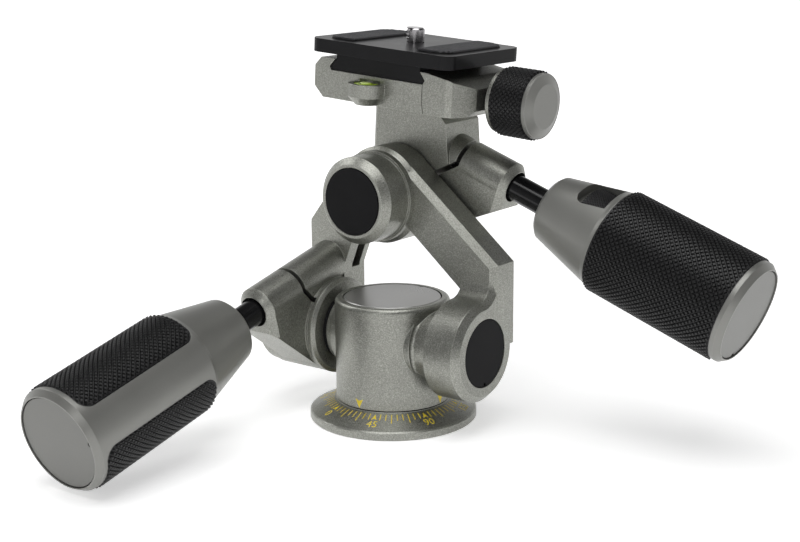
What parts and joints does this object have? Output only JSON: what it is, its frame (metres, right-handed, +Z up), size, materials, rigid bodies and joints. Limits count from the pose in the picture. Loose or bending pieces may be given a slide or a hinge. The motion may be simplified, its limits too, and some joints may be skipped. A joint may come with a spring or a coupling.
{
  "type": "three way pan tilt head",
  "caption": "Photo tripod head with separate pan, front tilt and side tilt axes, two screw-down handles and a dovetail quick release plate with a level.",
  "frame": {"origin": "centre of the round base's underside, on the pan axis, at the mouth of the tripod thread", "axes": "+Z up along the pan axis, +Y the way the lens looks, so the front handle points along -Y; the front tilt axis runs along X and the side tilt axis along Y"},
  "size_m": [0.1811, 0.1759, 0.1369],
  "materials": {
    "casting": "fine metallic speckled paint",
    "cover": "smooth paint",
    "black_plastic": "satin",
    "rubber": "knurled",
    "wheel_black": "knurled",
    "black_anodised": "black anodised",
    "steel": "satin",
    "brass": "machined",
    "chrome": "polished",
    "vial": "clear yellow green",
    "grip_grey": "smooth satin"
  },
  "bodies": {
    "base": {"base_flange": "casting", "thread_insert": "brass", "pan_spindle": "steel", "friction_washer": "black_plastic"},
    "pan_body": {"pan_housing": "casting", "top_cover": "cover", "tilt_drum": "casting", "tilt_pin": "steel", "neck_seal": "black_plastic"},
    "pan_lock": {"pan_lock_stud": "steel", "pan_lock_grip": "rubber", "pan_lock_cap": "casting"},
    "yoke": {"right_arm": "casting", "left_bracket": "casting", "hub_collar": "casting", "hub_cap": "black_plastic", "arm_cap": "black_plastic", "side_drum": "steel", "left_end_cap": "casting", "yoke_screws": "steel"},
    "platform": {"platform_casting": "casting", "ring_cap": "black_plastic", "clamp_base": "casting", "level_vial": "vial", "clamp_screws": "steel", "guide_pins": "steel"},
    "jaw": {"moving_jaw": "casting"},
    "clamp_knob": {"clamp_stud": "black_anodised", "knob_flange": "casting", "knob_grip": "rubber", "knob_cap": "casting"},
    "plate": {"camera_plate": "black_anodised", "pad_left": "rubber", "pad_right": "rubber", "screw_clip": "steel"},
    "screw": {"camera_screw": "chrome"},
    "front_rod": {"rod_1": "black_anodised"},
    "front_grip": {"grip_core_1": "grip_grey", "rubber_1a": "rubber", "rubber_1b": "rubber", "grip_cap_1": "grip_grey"},
    "front_wheel": {"wheel_1": "wheel_black"},
    "side_rod": {"rod_2": "black_anodised"},
    "side_grip": {"grip_core_2": "grip_grey", "rubber_2a": "rubber", "rubber_2b": "rubber", "grip_cap_2": "grip_grey"},
    "side_wheel": {"wheel_2": "wheel_black"}
  },
  "joints": [
    {"name": "pan", "type": "hinge", "parent": "base", "child": "pan_body", "pos_m": [0, 0, 0.0295], "axis": [0, 0, 1], "continuous": true},
    {"name": "pan_lock_turn", "type": "hinge", "parent": "pan_body", "child": "pan_lock", "pos_m": [0, 0.026, 0.019], "axis": [0, 1, 0], "range_deg": [0, 360]},
    {"name": "front_tilt", "type": "hinge", "parent": "pan_body", "child": "yoke", "pos_m": [0, 0, 0.0295], "axis": [1, 0, 0], "range_deg": [-90, 30]},
    {"name": "side_tilt", "type": "hinge", "parent": "yoke", "child": "platform", "pos_m": [-0.0103, 0, 0.0783], "axis": [0, 1, 0], "range_deg": [-94, 16]},
    {"name": "jaw_slide", "type": "slide", "parent": "platform", "child": "jaw", "axis": [0.9976, 0, -0.0698], "range_m": [0, 0.003]},
    {"name": "knob_turn", "type": "hinge", "parent": "jaw", "child": "clamp_knob", "pos_m": [0.03443, 0.024, 0.11296], "axis": [0.9976, 0, -0.0698], "range_deg": [0, 1080]},
    {"name": "plate_slide", "type": "slide", "parent": "platform", "child": "plate", "axis": [0, 1, 0], "range_m": [-0.02, 0.02]},
    {"name": "screw_turn", "type": "hinge", "parent": "plate", "child": "screw", "pos_m": [-0.00688, 0.024, 0.13149], "axis": [0.0698, 0, 0.9976], "continuous": true},
    {"name": "front_lock_turn", "type": "hinge", "parent": "yoke", "child": "front_rod", "pos_m": [-0.034, -0.04882, 0.03722], "axis": [0, -0.9703, -0.2419], "range_deg": [0, 270]},
    {"name": "front_grip_slide", "type": "slide", "parent": "front_rod", "child": "front_grip", "axis": [0, -0.9703, -0.2419], "range_m": [-0.003, 0.03]},
    {"name": "front_wheel_turn", "type": "hinge", "parent": "front_grip", "child": "front_wheel", "pos_m": [-0.034, -0.06919, 0.03214], "axis": [0, -0.9703, -0.2419], "range_deg": [0, 90]},
    {"name": "side_lock_turn", "type": "hinge", "parent": "platform", "child": "side_rod", "pos_m": [0.0493, 0.027, 0.07715], "axis": [0.9397, 0, -0.342], "range_deg": [0, 270]},
    {"name": "side_grip_slide", "type": "slide", "parent": "side_rod", "child": "side_grip", "axis": [0.9397, 0, -0.342], "range_m": [-0.003, 0.03]},
    {"name": "side_wheel_turn", "type": "hinge", "parent": "side_grip", "child": "side_wheel", "pos_m": [0.06903, 0.027, 0.06996], "axis": [0.9397, 0, -0.342], "range_deg": [0, 90]}
  ],
  "couplings": [
    {"joint": "knob_turn", "follows": "jaw_slide", "rad_per_m": 6283.2}
  ]
}
